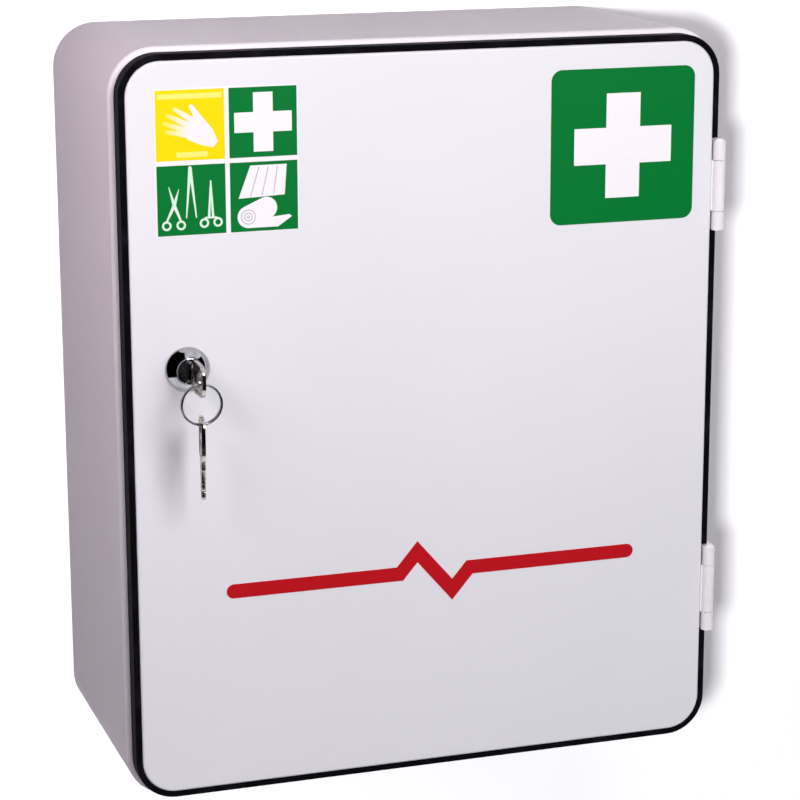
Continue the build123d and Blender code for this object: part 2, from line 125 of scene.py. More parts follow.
class Coat(Graph):
    def __init__(self, name, fixed):        # fixed: what is the same all over, set on the shader itself
        self.material = bpy.data.materials.new(name)
        self.material.use_nodes = True
        super().__init__(self.material.node_tree)
        self.shader = self.tree.nodes["Principled BSDF"]
        for socket, value in fixed.items():
            self.shader.inputs[socket].default_value = value
        self.place = self.add("ShaderNodeTexCoord", out="Object")

    def noise(self, size, detail=2.0, roughness=0.5, at=None):        # size: a blotch's width in metres
        values = {"Vector": at or self.place, "Scale": 1 / size, "Detail": detail, "Roughness": roughness}
        return self.add("ShaderNodeTexNoise", None, values)

    def stretched(self, x, y, z):        # object coordinates with each axis scaled
        return self.add("ShaderNodeVectorMath", {"operation": "MULTIPLY"}, {0: self.place, 1: (x, y, z)})

    def axis(self, letter):
        return self.add("ShaderNodeSeparateXYZ", None, {"Vector": self.place}, out=letter)

    def tint(self, factor, first, second):        # colours, first where factor is 0
        return self.add("ShaderNodeMix", {"data_type": "RGBA"}, {0: factor, 6: first, 7: second}, out=2)

    def bump(self, height, depth, strength=1.0):
        values = {"Height": height, "Distance": depth, "Strength": strength}
        return self.add("ShaderNodeBump", None, values)

    def feed(self, **wires):        # colour, roughness, metallic, coat, normal
        sockets = {
            "colour": "Base Color", "roughness": "Roughness", "metallic": "Metallic",
            "coat": "Coat Weight", "normal": "Normal",
        }
        for name, wire in wires.items():
            self.plug(self.shader.inputs[sockets[name]], wire)
        return self.material


def colour(red, green, blue):        # from the 0 to 255 scale of a screen to linear light
    def linear(value):
        value = value / 255
        return value / 12.92 if value <= 0.04045 else ((value + 0.055) / 1.055) ** 2.4
    return (linear(red), linear(green), linear(blue), 1.0)


def shaded(tone, amount):        # the same colour, lighter above 1 and darker below it
    return (tone[0] * amount, tone[1] * amount, tone[2] * amount, 1.0)


# Finishes

def powderCoat(name, look):        # baked powder paint with a fine orange peel
    coat = Coat(name, {"Specular IOR Level": look["gloss"], "Coat Roughness": look["coatRoughness"]})
    drift = coat.noise(look["driftSize"], detail=3)
    peel = coat.noise(look["peelSize"], roughness=0.4)
    grain = coat.noise(look["grainSize"], detail=1)
    tone = coat.tint(drift.soft(*look["driftBand"]), shaded(look["tone"], look["shadeLow"]), look["tone"])
    # a paler tone on the front rim when the look gives one: a painted highlight
    if "rimHighlightTone" in look:
        onRimHighlight = 1 - coat.axis("Y").soft(wrapLow.y + look["rimHighlightFull"], wrapLow.y + look["rimHighlightEnd"])
        tone = coat.tint(onRimHighlight, tone, look["rimHighlightTone"])
    rough = look["roughness"] + drift.swing(look["driftRough"]) + grain.swing(look["grainRough"])
    clear = look["coat"] + peel.swing(look["peelCoat"])
    normal = coat.bump(peel + grain * look["grainHeight"], look["peelDepth"], look["peelStrength"])
    return coat.feed(colour=tone, roughness=rough, coat=clear, normal=normal)


bodyPaintLook = {
    "tone": colour(231, 226, 230), "shadeLow": 0.975, "gloss": 0.2, "coat": 0.025, "coatRoughness": 0.25,
    "roughness": 0.45, "driftSize": 90 * mm, "driftBand": (0.3, 0.7), "driftRough": 0.06,
    "grainSize": 0.4 * mm, "grainRough": 0.04, "grainHeight": 0.15,
    "peelSize": 1.6 * mm, "peelDepth": 0.03 * mm, "peelStrength": 0.35, "peelCoat": 0.05,
}
wrapPaintLook = {        # paler on the rounded front rim, where the sheet is bent towards the door: a painted highlight
    # the wrap's tone is a darker, mauve copy of the door's white: painted shade on the cabinet's sides
    **bodyPaintLook, "tone": colour(224, 213, 221), "rimHighlightTone": colour(252, 248, 251), "rimHighlightFull": 1.9 * mm,
    "rimHighlightEnd": 3.4 * mm,
}
doorPaintLook = {
    **bodyPaintLook, "tone": colour(239, 238, 242), "gloss": 0.35, "roughness": 0.42, "coat": 0.06,
    "driftSize": 140 * mm,
}
# a paler copy of the same white paint: painted light that makes the hinges brighter than the lamps alone do
hingePaintLook = {
    **bodyPaintLook, "tone": colour(249, 246, 248), "gloss": 0.35, "roughness": 0.36, "driftSize": 12 * mm,
    "peelSize": 0.9 * mm, "grainSize": 0.225 * mm,
}


def rubber(name, look):
    coat = Coat(name, {"Specular IOR Level": look["gloss"]})
    grain = coat.noise(look["grain"])
    bloom = coat.noise(look["bloomSize"], detail=4, roughness=0.6)
    tone = coat.tint(bloom.soft(*look["bloomBand"]), look["tone"], look["bloom"])
    rough = look["roughness"] + bloom.swing(look["bloomRough"])
    return coat.feed(colour=tone, roughness=rough, normal=coat.bump(grain, look["depth"], look["strength"]))


rubberLook = {
    "tone": colour(12, 11, 15), "bloom": colour(26, 25, 31), "gloss": 0.015, "roughness": 0.55,
    "bloomSize": 14 * mm, "bloomBand": (0.45, 0.75), "bloomRough": 0.2,
    "grain": 0.5 * mm, "depth": 0.02 * mm, "strength": 0.5,
}


def zinc(name, look):        # bright zinc plate with soft patches
    coat = Coat(name, {"Metallic": 1.0})
    values = {"Vector": coat.place, "Scale": 1 / look["patchSize"]}
    cells = coat.add("ShaderNodeTexVoronoi", {"feature": "F1"}, values)
    fine = coat.noise(look["scratch"], detail=3, roughness=0.6)
    tone = coat.tint(cells.soft(*look["patchBand"]), look["bright"], look["dull"])
    patches = (cells - look["patchMiddle"]) * look["patchRough"]
    rough = look["roughness"] + patches + fine.swing(look["scratchRough"])
    return coat.feed(colour=tone, roughness=rough, normal=coat.bump(fine, look["depth"], look["strength"]))


zincLook = {
    "bright": colour(206, 209, 214), "dull": colour(160, 166, 178), "roughness": 0.34,
    "patchSize": 3.5 * mm, "patchBand": (0.1, 0.8), "patchMiddle": 0.4, "patchRough": 0.15,
    "scratch": 0.25 * mm, "scratchRough": 0.1, "depth": 0.006 * mm, "strength": 0.5,
}


def plated(name, look):        # polished plate with a little haze and hairline scratches
    coat = Coat(name, {"Metallic": 1.0})
    haze = coat.noise(look["hazeSize"], detail=4, roughness=0.6)
    hair = coat.noise(look["scratch"], roughness=0.7, at=coat.stretched(1, look["hairStretch"], 1))
    tone = coat.tint(haze.soft(*look["hazeBand"]), look["tone"], look["haze"])
    dulled = haze.soft(*look["roughBand"]) * look["hazeRough"]
    rough = look["roughness"] + dulled + hair.swing(look["hairRough"])
    return coat.feed(colour=tone, roughness=rough, normal=coat.bump(hair, look["depth"], look["strength"]))


chromeLook = {
    "tone": colour(184, 184, 190), "haze": colour(156, 156, 163), "roughness": 0.06,
    "hazeSize": 4 * mm, "hazeBand": (0.4, 0.75), "roughBand": (0.45, 0.8), "hazeRough": 0.08,
    "scratch": 0.12 * mm, "hairStretch": 0.12, "hairRough": 0.05, "depth": 0.0015 * mm, "strength": 0.6,
}
plugLook = {
    **chromeLook, "tone": colour(128, 128, 132), "haze": colour(86, 86, 90), "hazeSize": 1.4 * mm,
    "roughness": 0.26, "scratch": 0.2 * mm, "depth": 0.004 * mm,
}
brassLook = {
    **plugLook, "tone": colour(222, 196, 132), "haze": colour(176, 150, 92), "hazeSize": 1.5 * mm,
    "roughness": 0.3,
}
ringLook = {
    **chromeLook, "tone": colour(176, 176, 182), "haze": colour(126, 126, 132), "hazeSize": 2.2 * mm,
    "roughness": 0.26, "depth": 0.002 * mm,
}


def keyPlate(name, look):        # nickel plate, drawn lines along the key and worn patches
    coat = Coat(name, {"Metallic": 1.0})
    across = coat.noise(look["lineSize"], roughness=0.6, at=coat.stretched(1, 1, 1 / look["lineStretch"]))
    patch = coat.noise(look["patchSize"], detail=4, roughness=0.6)
    tone = coat.tint(patch.soft(*look["wornBand"]), look["tone"], look["worn"])
    dulled = patch.soft(*look["roughBand"]) * look["patchRough"]
    rough = look["roughness"] + dulled + across.swing(look["lineRough"])
    return coat.feed(colour=tone, roughness=rough, normal=coat.bump(across, look["depth"], look["strength"]))


keyLook = {
    "tone": colour(186, 181, 176), "worn": colour(140, 134, 128), "roughness": 0.13,
    "patchSize": 5 * mm, "wornBand": (0.45, 0.7), "roughBand": (0.4, 0.8), "patchRough": 0.18,
    "lineSize": 0.16 * mm, "lineStretch": 14.0, "lineRough": 0.12, "depth": 0.004 * mm, "strength": 0.6,
}


def printedFilm(name, look, tone):        # ink on a self-adhesive film
    coat = Coat(name, {"Specular IOR Level": look["gloss"], "Coat Roughness": look["coatRoughness"]})
    ink = coat.noise(look["inkSize"], detail=3, roughness=0.6)
    wave = coat.noise(look["waveSize"])
    printed = coat.tint(ink.soft(*look["inkBand"]), tone, shaded(tone, look["inkShade"]))
    rough = look["roughness"] + ink.swing(look["inkSwing"])
    clear = look["coat"] + ink.swing(look["inkSwing"])
    normal = coat.bump(wave, look["waveDepth"], look["waveStrength"])
    return coat.feed(colour=printed, roughness=rough, coat=clear, normal=normal)


filmLook = {
    "gloss": 0.1, "roughness": 0.42, "coat": 0.0, "coatRoughness": 0.2,
    "inkSize": 2.4 * mm, "inkBand": (0.35, 0.75), "inkShade": 0.98, "inkSwing": 0.08,
    "waveSize": 22 * mm, "waveDepth": 0.02 * mm, "waveStrength": 0.4,
}
filmTones = {
    "white_film": colour(252, 248, 250),
    "yellow_film": colour(248, 226, 8),
    "green_film": colour(3, 121, 50),
    "red_film": colour(196, 22, 32),
}


finishes = {
    "white_paint": powderCoat("bodyPaint", bodyPaintLook),
    "door_paint": powderCoat("doorPaint", doorPaintLook),
    "hinge_paint": powderCoat("hingePaint", hingePaintLook),
    "black_rubber": rubber("blackRubber", rubberLook),
    "zinc_steel": zinc("zincPlate", zincLook),
    "lock_chrome": plated("lockChrome", chromeLook),
    "plug_metal": plated("plugMetal", plugLook),
    "brass_wafer": plated("waferBrass", brassLook),
    "key_nickel": keyPlate("keyNickel", keyLook),
    "ring_steel": plated("ringSteel", ringLook),
}
for slotName, tone in filmTones.items():
    finishes[slotName] = printedFilm(slotName.replace("_f", "F"), filmLook, tone)

for row in frame["record"]["subparts"]:
    node = nodes[row["node"]]
    for materialSlot in node.material_slots:
        materialSlot.material = finishes[row["material_slot"]]
# the wrap gets its own copy of the paint: darker for painted shade on the sides, paler on the front rim for a
# painted highlight
wrapPaint = powderCoat("wrapPaint", wrapPaintLook)
for materialSlot in nodes["body_wrap"].material_slots:
    materialSlot.material = wrapPaint
print("finishes:", len(finishes))


# Mesh helpers. A piece's mesh is built in the frame, in metres.

def unlinked(name, verts, faces, material):        # a mesh object that isn't in the scene yet
    mesh = bpy.data.meshes.new(name)
    mesh.from_pydata([tuple(v) for v in verts], [], faces)
    mesh.materials.append(material)
    return bpy.data.objects.new(name, mesh)


def outward(mesh, flatness=None):        # faces turned outwards, those flatter than flatness joined
    form = bmesh.new()
    form.from_mesh(mesh)
    bmesh.ops.recalc_face_normals(form, faces=form.faces)
    if flatness:
        bmesh.ops.dissolve_limit(form, angle_limit=flatness, verts=form.verts, edges=form.edges)
    form.to_mesh(mesh)
    form.free()


def piece(name, verts, faces, material, body, replaced=(), smooth=None):
    return finished(unlinked(name, verts, faces, material), body, replaced, smooth)


def finished(thing, body, replaced=(), smooth=None):
    scene.collection.objects.link(thing)
    outward(thing.data)
    if smooth:
        thing.data.shade_smooth()
        thing.data.set_sharp_from_angle(angle=smooth)
    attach(thing, body)
    if replaced:
        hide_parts(*replaced)
    return thing


sameCorner = 1e-5        # corners of outlines that are nearer than this, in mm, are one


def terraces(shapes):
    # Flat outlines in mm, each with the (low, high) it is filled to. A later outline wins, None is a hole.
    # Gives a closed mesh: corners of (x, y, height) in mm, and faces.
    points, loops, fills = [], [], []
    for outline, fill in shapes:
        around = sum(a[0] * b[1] - b[0] * a[1] for a, b in zip(outline, outline[1:] + outline[:1]))
        loops.append(list(range(len(points), len(points) + len(outline))))
        points += [Vector(p) for p in (outline if around > 0 else reversed(outline))]
        fills.append(fill)
    flat, _, cells, _, _, owners = delaunay_2d_cdt(points, [], loops, 0, sameCorner, True)
    filled = {}        # each triangle, turned to the left, with what it is filled to
    for cell, owner in zip(cells, owners):
        if not owner or fills[max(owner)] is None:
            continue
        a, b, c = (flat[i] for i in cell)
        leftward = (b - a).cross(c - a) > 0
        filled[tuple(cell) if leftward else tuple(reversed(cell))] = fills[max(owner)]
    besides = {}        # each triangle's edges, with what it is filled to
    for cell, fill in filled.items():
        for i, start in enumerate(cell):
            besides[start, cell[(i + 1) % len(cell)]] = fill
    levels = {}        # all heights that meet at a corner
    for cell, fill in filled.items():
        for corner in cell:
            levels.setdefault(corner, set()).update(fill)
    corners, index, faces = [], {}, []

    def at(corner, height):
        if (corner, height) not in index:
            index[corner, height] = len(corners)
            corners.append((flat[corner].x, flat[corner].y, height))
        return index[corner, height]

    def wall(start, end, low, high):
        up = sorted(h for h in levels[start] if low <= h <= high)
        down = sorted((h for h in levels[end] if low <= h <= high), reverse=True)
        faces.append([at(start, h) for h in up] + [at(end, h) for h in down])

    for cell, (low, high) in filled.items():
        faces.append([at(corner, high) for corner in cell])
        faces.append([at(corner, low) for corner in reversed(cell)])
    for (start, end), (low, high) in besides.items():
        other = besides.get((end, start))
        if other is None:
            wall(start, end, low, high)
            continue
        if high > other[1]:
            wall(start, end, other[1], high)
        if low < other[0]:
            wall(start, end, low, other[0])
    return corners, faces


def onDoor(x, z, lift):        # from (right, up, out) in mm about a place on the door's front to the frame
    return lambda p: Vector((x + p[0] * mm, doorFront - (lift + p[2]) * mm, z + p[1] * mm))


def circle(x, y, radius, count=24, start=0.0, turn=2 * math.pi):
    steps = count if abs(turn) >= 2 * math.pi else count + 1
    angles = [start + turn * i / count for i in range(steps)]
    return [(x + radius * math.cos(a), y + radius * math.sin(a)) for a in angles]


def stroke(a, b, width, widthAtEnd=None, count=8):        # a line with round ends
    a, b = Vector(a), Vector(b)
    wide, narrow = width / 2, (width if widthAtEnd is None else widthAtEnd) / 2
    lean = math.atan2(b.y - a.y, b.x - a.x)
    outline = circle(a.x, a.y, wide, count, lean + math.pi / 2, math.pi)
    return outline + circle(b.x, b.y, narrow, count, lean - math.pi / 2, math.pi)


def rounded(width, height, radius, x=0.0, y=0.0, count=6):
    outline = []
    for k, (sideX, sideY) in enumerate(((1, 1), (-1, 1), (-1, -1), (1, -1))):
        centre = (x + sideX * (width / 2 - radius), y + sideY * (height / 2 - radius))
        outline += circle(*centre, radius, count, k * math.pi / 2, math.pi / 2)
    return outline


def spun(outline, toFrame, count):        # a closed outline of (radius, height) in mm, turned about local Z
    verts, faces = [], []
    last = len(outline)
    for i in range(count):
        angle = 2 * math.pi * i / count
        for radius, height in outline:
            verts.append(toFrame((radius * math.cos(angle), radius * math.sin(angle), height)))
    for i in range(count):
        for j in range(last):
            here, there = i * last, (i + 1) % count * last
            faces.append([here + j, here + (j + 1) % last, there + (j + 1) % last, there + j])
    return verts, faces


print("helpers ready")


# Printed pictograms, drawn in half widths of a tile: -1 to 1 each way. Film and lift are in mm.

pictogram = {
    "film": 0.08, "lift": 0.27,
    "gloveFingers": [(-0.44, 0.46), (-0.63, 0.28), (-0.74, 0.06), (-0.68, -0.17)],
    "gloveKnuckles": [(0.02, 0.16), (-0.1, 0.02), (-0.14, -0.14), (-0.06, -0.29)],
    "gloveThumb": ((0.3, 0.1), (0.04, 0.52)),
    "glovePalm": [
        (0.1, 0.26), (0.42, 0.14), (0.66, -0.16), (0.8, -0.5), (0.66, -0.66), (0.3, -0.58), (-0.1, -0.4),
        (-0.16, -0.12),
    ],
    "fingerWidths": (0.168, 0.1152), "thumbWidths": (0.221, 0.1275), "tips": colour(252, 238, 104),
    "palm": colour(252, 244, 246), "fadeFrom": 0.1, "fadeTo": -0.78,
    "topBar": (0.0, 0.82, 1.86, 0.15), "bottomBar": (0.04, -0.84, 0.92, 0.15), "barCorner": 0.2,
    "line": 0.055, "ring": 0.14, "ringLine": 0.062, "ringJoin": 0.8,
}


def tileMiddle(node):
    low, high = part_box(node)
    return (low.x + high.x) / 2, (low.z + high.z) / 2, (high.x - low.x) / 2 / mm


def printOn(node, name, shapes, material, lift=None):
    x, z, half = tileMiddle(node)
    grown = []
    for outline, hole in shapes:
        fill = None if hole else (0.0, pictogram["film"])
        grown.append(([(u * half, v * half) for u, v in outline], fill))
    corners, faces = terraces(grown)
    toFrame = onDoor(x, z, pictogram["lift"] if lift is None else lift)
    return piece(name, [toFrame(c) for c in corners], faces, material, "door")


def inked(*outlines):
    return [(outline, False) for outline in outlines]


def bar(x, y, width, height):
    return rounded(width, height, height * pictogram["barCorner"], x, y, count=3)


def ringShape(x, y):
    radius, line = pictogram["ring"], pictogram["ringLine"]
    return [(circle(x, y, radius, count=28), False), (circle(x, y, radius - line), True)]


def gloveFilm():        # white at the palm, fading towards the fingertips
    look = filmLook
    coat = Coat("gloveFilm", {"Specular IOR Level": look["gloss"], "Coat Roughness": look["coatRoughness"]})
    x, _, half = tileMiddle("tile_glove")
    fade = coat.axis("X").soft(x + pictogram["fadeTo"] * half * mm, x + pictogram["fadeFrom"] * half * mm)
    ink = coat.noise(look["inkSize"], detail=3, roughness=0.6)
    tone = coat.tint(fade, pictogram["tips"], pictogram["palm"])
    return coat.feed(colour=tone, roughness=look["roughness"] + ink.swing(look["inkSwing"]))


paleYellow = printedFilm("paleYellowFilm", filmLook, colour(254, 244, 122))
paleGreen = printedFilm("paleGreenFilm", filmLook, colour(222, 244, 224))
greyInk = printedFilm("greyInk", filmLook, colour(196, 196, 204))

fingers = [
    stroke(knuckle, tip, *pictogram["fingerWidths"])
    for knuckle, tip in zip(pictogram["gloveKnuckles"], pictogram["gloveFingers"])
]
thumb = stroke(*pictogram["gloveThumb"], *pictogram["thumbWidths"])
glove = inked(pictogram["glovePalm"], thumb, *fingers)
printOn("tile_glove", "glove_print", glove, gloveFilm())
bars = inked(bar(*pictogram["topBar"]), bar(*pictogram["bottomBar"]))
printOn("tile_glove", "glove_tile_bars", bars, paleYellow)

scissors = {
    "rings": [(-0.74, -0.71), (-0.32, -0.71)], "tips": [(-0.37, 0.32), (-0.66, 0.4)],
    "pivot": (-0.51, -0.13), "blade": 0.1, "handle": 0.055, "point": 0.02,
}
tweezers = {"apex": (-0.03, 0.92), "feet": [(-0.16, -0.5), (0.13, -0.5)], "wide": 0.1, "narrow": 0.035}
clamp = {
    "rings": [(0.36, -0.68), (0.76, -0.67)], "bar": ((0.4, -0.53), (0.72, -0.53)), "tip": (0.565, 0.52),
    "shafts": [(0.5, -0.52), (0.62, -0.52)], "wide": 0.075, "narrow": 0.04,
}
shapes = []
for (ringX, ringY), tip in zip(scissors["rings"], scissors["tips"]):
    joint = (ringX, ringY + pictogram["ring"] * pictogram["ringJoin"])
    shapes += inked(stroke(joint, scissors["pivot"], scissors["handle"], scissors["blade"]))
    shapes += inked(stroke(scissors["pivot"], tip, scissors["blade"], scissors["point"], count=6))
for foot in tweezers["feet"]:
    shapes += inked(stroke(tweezers["apex"], foot, tweezers["wide"], tweezers["narrow"]))
for shaft in clamp["shafts"]:
    shapes += inked(stroke(shaft, clamp["tip"], clamp["wide"], clamp["narrow"]))
shapes += inked(stroke(*clamp["bar"], pictogram["line"]))
for centre in scissors["rings"] + clamp["rings"]:
    shapes += ringShape(*centre)
printOn("tile_instruments", "instruments_print", shapes, paleGreen)

dressing = {
    "pad": [(-0.4, 0.9), (0.68, 0.9), (0.61, 0.02), (-0.76, -0.04)],
    "folds": [0.25, 0.5, 0.75], "foldLine": 0.03, "foldMargin": 0.06, "foldsSunk": 0.02,
    "rollEnds": ((-0.48, -0.58), (0.06, -0.34)), "rollWidth": 0.64, "coreRings": [0.22, 0.13, 0.05],
    "tail": [(-0.5, -0.9), (0.4, -0.9), (0.82, -0.62), (0.74, -0.56), (0.1, -0.62)],
}
roll = stroke(*dressing["rollEnds"], dressing["rollWidth"], count=14)
padAndRoll = inked(dressing["pad"], roll, dressing["tail"])
printOn("tile_dressings", "dressings_print", padAndRoll, finishes["white_film"])
topLeft, topRight, lowRight, lowLeft = (Vector(p) for p in dressing["pad"])
folds = []
for share in dressing["folds"]:
    top, low = topLeft.lerp(topRight, share), lowLeft.lerp(lowRight, share)
    ends = top.lerp(low, dressing["foldMargin"]), low.lerp(top, dressing["foldMargin"])
    folds += inked(stroke(*ends, dressing["foldLine"], count=4))
core = dressing["rollEnds"][0]
for radius in dressing["coreRings"]:
    folds += [(circle(*core, radius), False), (circle(*core, radius - dressing["foldLine"]), True)]
lift = pictogram["lift"] + pictogram["film"] - dressing["foldsSunk"]
printOn("tile_dressings", "dressings_folds", folds, greyInk, lift)
print("pictograms printed")


# Lock: rosette, boss and threaded barrel in one piece

rosette = {        # in mm, out from the door's front, and swell rounds the crown
    "radius": 10.6, "edge": 0.7, "crown": 4.4, "crownSteps": 14, "swell": 0.22, "groove": (0.1, 0.15),
    "boss": 6.4, "bossHeight": 6.2, "softEdge": 0.35, "softStep": 0.1, "bore": 5.05, "chamfer": 0.25,
    "barrel": 8.0, "barrelFlat": 7.0, "barrelLength": 16.4, "pitch": 1.0, "threadDepth": 0.34,
    "threadFrom": 2.0, "threadFade": 0.6, "facets": 96, "crease": 32 * degree,
}


def arcPoints(start, through, end, count):        # along the arc through three points, both ends included
    (ax, ay), (bx, by), (cx, cy) = start, through, end
    a, b, c = ax * ax + ay * ay, bx * bx + by * by, cx * cx + cy * cy
    double = 2 * (ax * (by - cy) + bx * (cy - ay) + cx * (ay - by))
    x = (a * (by - cy) + b * (cy - ay) + c * (ay - by)) / double
    y = (a * (cx - bx) + b * (ax - cx) + c * (bx - ax)) / double
    first = math.atan2(ay - y, ax - x)
    sweep = (math.atan2(cy - y, cx - x) - first + math.pi) % (2 * math.pi) - math.pi
    radius = math.hypot(ax - x, ay - y)
    angles = [first + sweep * i / count for i in range(count + 1)]
    return [(x + radius * math.cos(angle), y + radius * math.sin(angle)) for angle in angles]


def lockRosette(look):
    radius, boss, bore, top = look["radius"], look["boss"], look["bore"], look["bossHeight"]
    soft, step, chamfer = look["softEdge"], look["softStep"], look["chamfer"]
    crest, root, end = look["barrel"], look["barrel"] - look["threadDepth"], -look["barrelLength"]
    grooveAcross, grooveDeep = look["groove"]
    edge, foot = (radius, look["edge"]), (boss + soft, look["crown"])
    middle = ((edge[0] + foot[0]) / 2 + look["swell"], (edge[1] + foot[1]) / 2 + look["swell"])
    outline = [(radius - chamfer, 0.0), (radius, chamfer)]
    outline += arcPoints(edge, middle, foot, look["crownSteps"])
    outline += [(boss + grooveAcross, look["crown"] - grooveDeep), (boss, look["crown"])]
    outline += [(boss, top - soft), (boss - step, top - step), (boss - soft, top)]
    outline += [(bore + chamfer, top), (bore, top - chamfer), (bore, end), (root, end)]
    turns = int((look["barrelLength"] - look["threadFrom"]) / look["pitch"])
    for turn in range(turns):
        height = end + (turn + 0.5) * look["pitch"]
        outline += [(crest, height), (root, height + look["pitch"] / 2)]
    outline += [(crest, look["threadFade"] - look["threadFrom"]), (crest, 0.0)]

    def withFlats(p):        # the barrel has two flats, the rosette in front of the door has none
        if p[2] < 0:
            p = (max(-look["barrelFlat"], min(look["barrelFlat"], p[0])), p[1], p[2])
        return onDoor(lockX, lockZ, 0)(p)
    verts, faces = spun(outline, withFlats, look["facets"])
    chrome, node = finishes["lock_chrome"], "lock_housing"
    return piece("lock_rosette", verts, faces, chrome, "door", [node], look["crease"])


lockRosette(rosette)
print("lock turned")


# Keys: the blade with its cuts and a milled groove, and a bow with a raised rim

keyShape = {        # in mm, up from the shoulder, each cut 0 to 4 steps deep, the blade lapping into the neck
    "sheet": 1.8, "blade": (6.2, 14.0), "neck": (8.0, 3.8), "neckCorner": 0.5, "lap": 0.5,
    "bow": (15.0, 21.0), "bowRadius": 5.0, "rim": 1.5, "sunk": 0.28, "hole": 6.5, "holeFromEnd": 6.0,
    "holeRim": 1.05, "groove": (1.5, 0.45), "grooveCorner": 0.735, "grooveAside": 0.6, "grooveAbove": 2.28,
    "grooveFromTip": 0.02, "cuts": 5, "cutStep": 0.35, "cutWidth": 1.3, "cutFrom": 3.2, "cutPitch": 2.2,
    "cutMouth": 0.3, "cutFloor": 0.6, "cutPast": 0.1, "point": 1.55, "soften": 0.16, "softenSteps": 2,
    "crease": 40 * degree, "flatness": 1 * degree, "spareTurn": 9 * degree,
}


def keySolid(look):        # shoulder at 0, the blade down and the bow up, as corners in mm and faces
    half = look["sheet"] / 2
    bladeWidth, bladeLength = look["blade"]
    neckWidth, neckLength = look["neck"]
    bowWidth, bowLength = look["bow"]
    grooveWidth, grooveDepth = look["groove"]
    full = (-half, half)
    thin = (-half + grooveDepth, half - grooveDepth)
    sunk = (-half + look["sunk"], half - look["sunk"])
    point, rim = look["point"], look["rim"]
    blade = [
        (-bladeWidth / 2, look["lap"]), (-bladeWidth / 2, -bladeLength + point),
        (-bladeWidth / 2 + point, -bladeLength), (bladeWidth / 2 - point, -bladeLength),
        (bladeWidth / 2, -bladeLength + point), (bladeWidth / 2, look["lap"]),
    ]
    middle = neckLength + bowLength / 2
    holeAt = neckLength + bowLength - look["holeFromEnd"]
    neckTop = neckLength + look["bowRadius"]
    grooveLength = bladeLength + look["grooveAbove"]
    grooveAt = (look["grooveAbove"] - bladeLength + look["grooveFromTip"]) / 2
    shapes = [
        (blade, full),
        (rounded(neckWidth, neckTop, look["neckCorner"], 0, neckTop / 2), full),
        (rounded(bowWidth, bowLength, look["bowRadius"], 0, middle), full),
        (rounded(bowWidth - 2 * rim, bowLength - 2 * rim, look["bowRadius"] - rim, 0, middle), sunk),
        (circle(0, holeAt, look["hole"] / 2 + look["holeRim"], count=32), full),
        (rounded(grooveWidth, grooveLength, look["grooveCorner"], look["grooveAside"], grooveAt), thin),
    ]
    for i in range(look["cuts"]):
        depth = look["cutStep"] * (2 * i % look["cuts"])
        if depth > 0:
            along = -look["cutFrom"] - i * look["cutPitch"]
            mouth, floor = look["cutWidth"] / 2 + look["cutMouth"], look["cutWidth"] / 2 * look["cutFloor"]
            outer, inner = -bladeWidth / 2 - look["cutPast"], -bladeWidth / 2 + depth
            cut = [(outer, along - mouth), (inner, along - floor)]
            cut += [(inner, along + floor), (outer, along + mouth)]
            shapes.append((cut, None))
    shapes.append((circle(0, holeAt, look["hole"] / 2, count=40), None))
    return terraces(shapes)


def softened(thing, width, steps, angle):        # a small bevel on each edge sharper than angle, applied
    scene.collection.objects.link(thing)
    bevel = thing.modifiers.new("softened", "BEVEL")
    bevel.width = width
    bevel.segments = steps
    bevel.limit_method = "ANGLE"
    bevel.angle_limit = angle
    bpy.context.view_layer.update()
    shaped = bpy.data.meshes.new_from_object(thing.evaluated_get(bpy.context.evaluated_depsgraph_get()))
    thing.modifiers.clear()
    thing.data = shaped
    scene.collection.objects.unlink(thing)


def makeKey(name, node, body, toFrame):
    look = keyShape
    corners, faces = keySolid(look)
    thing = unlinked(name, [toFrame(c) for c in corners], faces, finishes["key_nickel"])
    outward(thing.data, look["flatness"])
    softened(thing, look["soften"] * mm, look["softenSteps"], look["crease"])
    return finished(thing, body, [node], look["crease"])


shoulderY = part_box("key_in_lock")[1].y - keyShape["blade"][1] * mm
spareLow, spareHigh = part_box("spare_key")
spareShoulder = Vector((lockX, (spareLow.y + spareHigh.y) / 2, spareLow.z + keyShape["blade"][1] * mm))
spareTurn = Matrix.Rotation(-keyShape["spareTurn"], 3, "Z")


def inLock(p):        # the blade points into the door and the bow stands out of it, on edge
    return Vector((lockX + p[2] * mm, shoulderY - p[1] * mm, lockZ + p[0] * mm))


def hanging(p):        # from the ring, turned a little about the upright
    return spareShoulder + spareTurn @ Vector((p[2], p[0], p[1])) * mm


makeKey("key_turned_in", "key_in_lock", "lock_cylinder", inLock)
makeKey("key_hanging", "spare_key", "spare_key", hanging)
print("keys cut")


# Key ring: two turns of wire that change sides where the wire's ends lie

splitRing = {        # in mm, the wire as half sizes across and along the ring's axis, round at a square of 2
    "radius": 9.4, "wire": (0.58, 0.52), "offset": 0.55, "square": 2.6, "turnSteps": 72, "side": 14,
    "crossing": 34 * degree, "endsAt": 205 * degree, "endGap": 3 * degree, "endSize": 0.55, "endSteps": 2,
    "crease": 40 * degree,
}


